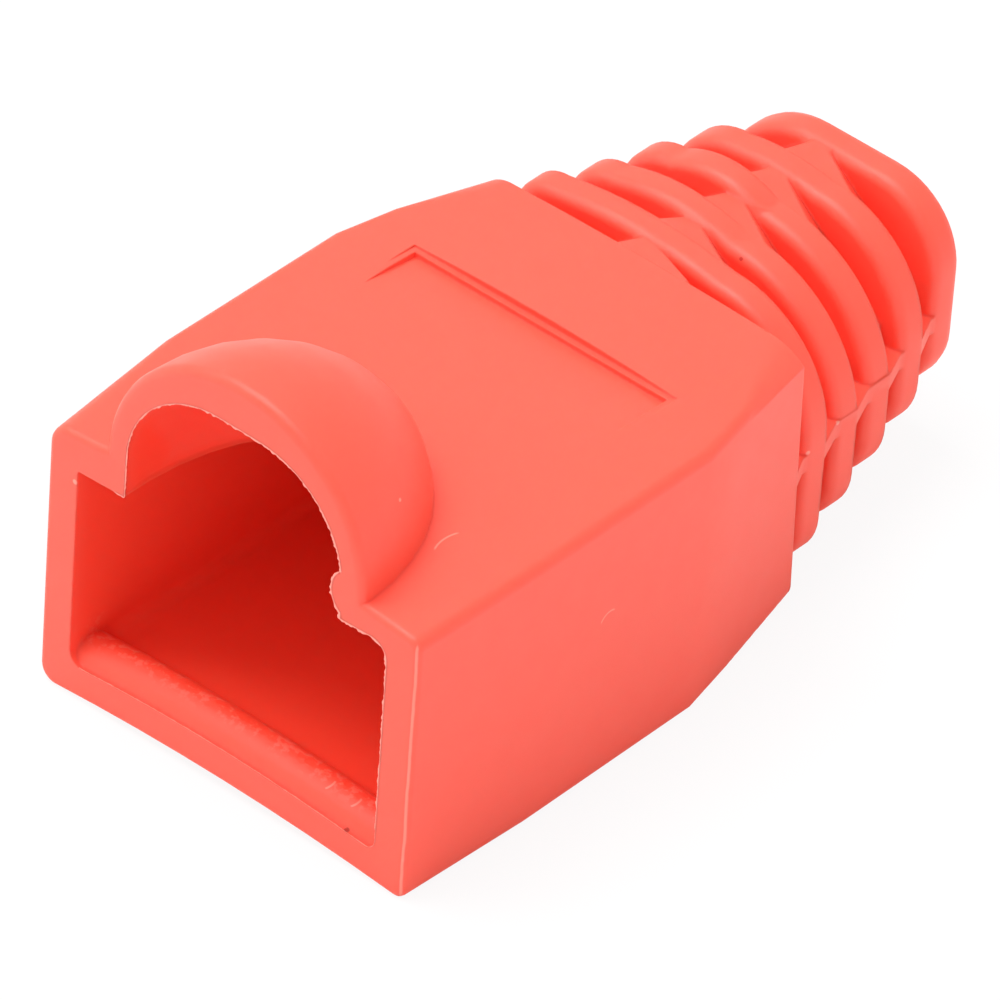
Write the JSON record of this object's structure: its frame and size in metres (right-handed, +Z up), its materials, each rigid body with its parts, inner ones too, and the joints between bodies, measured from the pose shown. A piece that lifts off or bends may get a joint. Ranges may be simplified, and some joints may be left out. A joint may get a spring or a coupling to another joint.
{
  "type": "rj45 strain relief boot",
  "caption": "Soft red slip-on boot for a modular plug, with a square mouth, a domed latch hood, a flat top with a sunk panel, and a ribbed bend-relief tail.",
  "frame": {"origin": "middle of the length and width, on the flat bottom of the body", "axes": "+Z up through the hood, +Y from the plug mouth towards the cable end, X across the plug"},
  "size_m": [0.0144, 0.0274, 0.0144],
  "materials": {
    "strain_relief_boot": "satin soft PVC, solid red"
  },
  "bodies": {
    "root": {"strain_relief_boot": "strain_relief_boot"}
  },
  "joints": []
}
